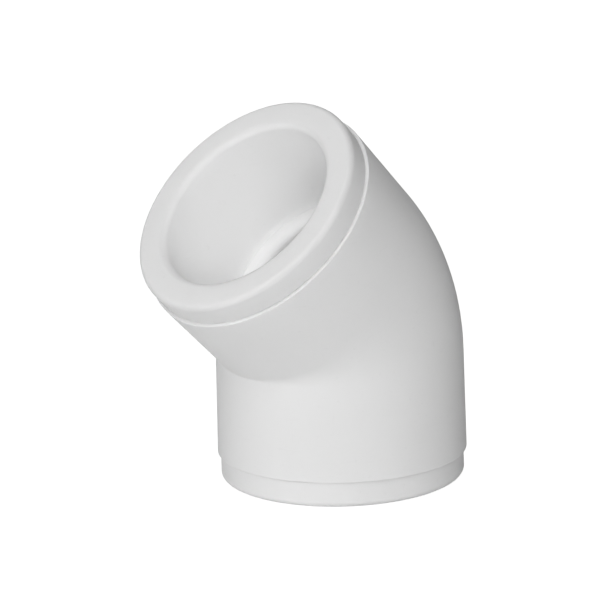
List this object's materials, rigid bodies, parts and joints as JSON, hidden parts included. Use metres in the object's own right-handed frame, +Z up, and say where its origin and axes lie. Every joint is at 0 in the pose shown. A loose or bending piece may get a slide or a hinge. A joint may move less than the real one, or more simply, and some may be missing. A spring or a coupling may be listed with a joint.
{
  "type": "socket elbow",
  "caption": "Short 45 degree elbow for round conduit: a smooth bent body with a collared socket at each end and a stop ledge inside each socket.",
  "frame": {"origin": "middle of the base of the whole elbow's box, on the plane of the lower mouth's face", "axes": "+Z up along the lower socket's axis, away from its mouth; the upper socket leans 45 degrees from +Z towards -X; +Y across the bend's plane"},
  "size_m": [0.0462, 0.0348, 0.0528],
  "materials": {
    "body_plastic": "satin",
    "collar_plastic": "satin"
  },
  "bodies": {
    "root": {"elbow_body": "body_plastic", "upper_collar": "collar_plastic", "lower_collar": "collar_plastic"}
  },
  "joints": []
}
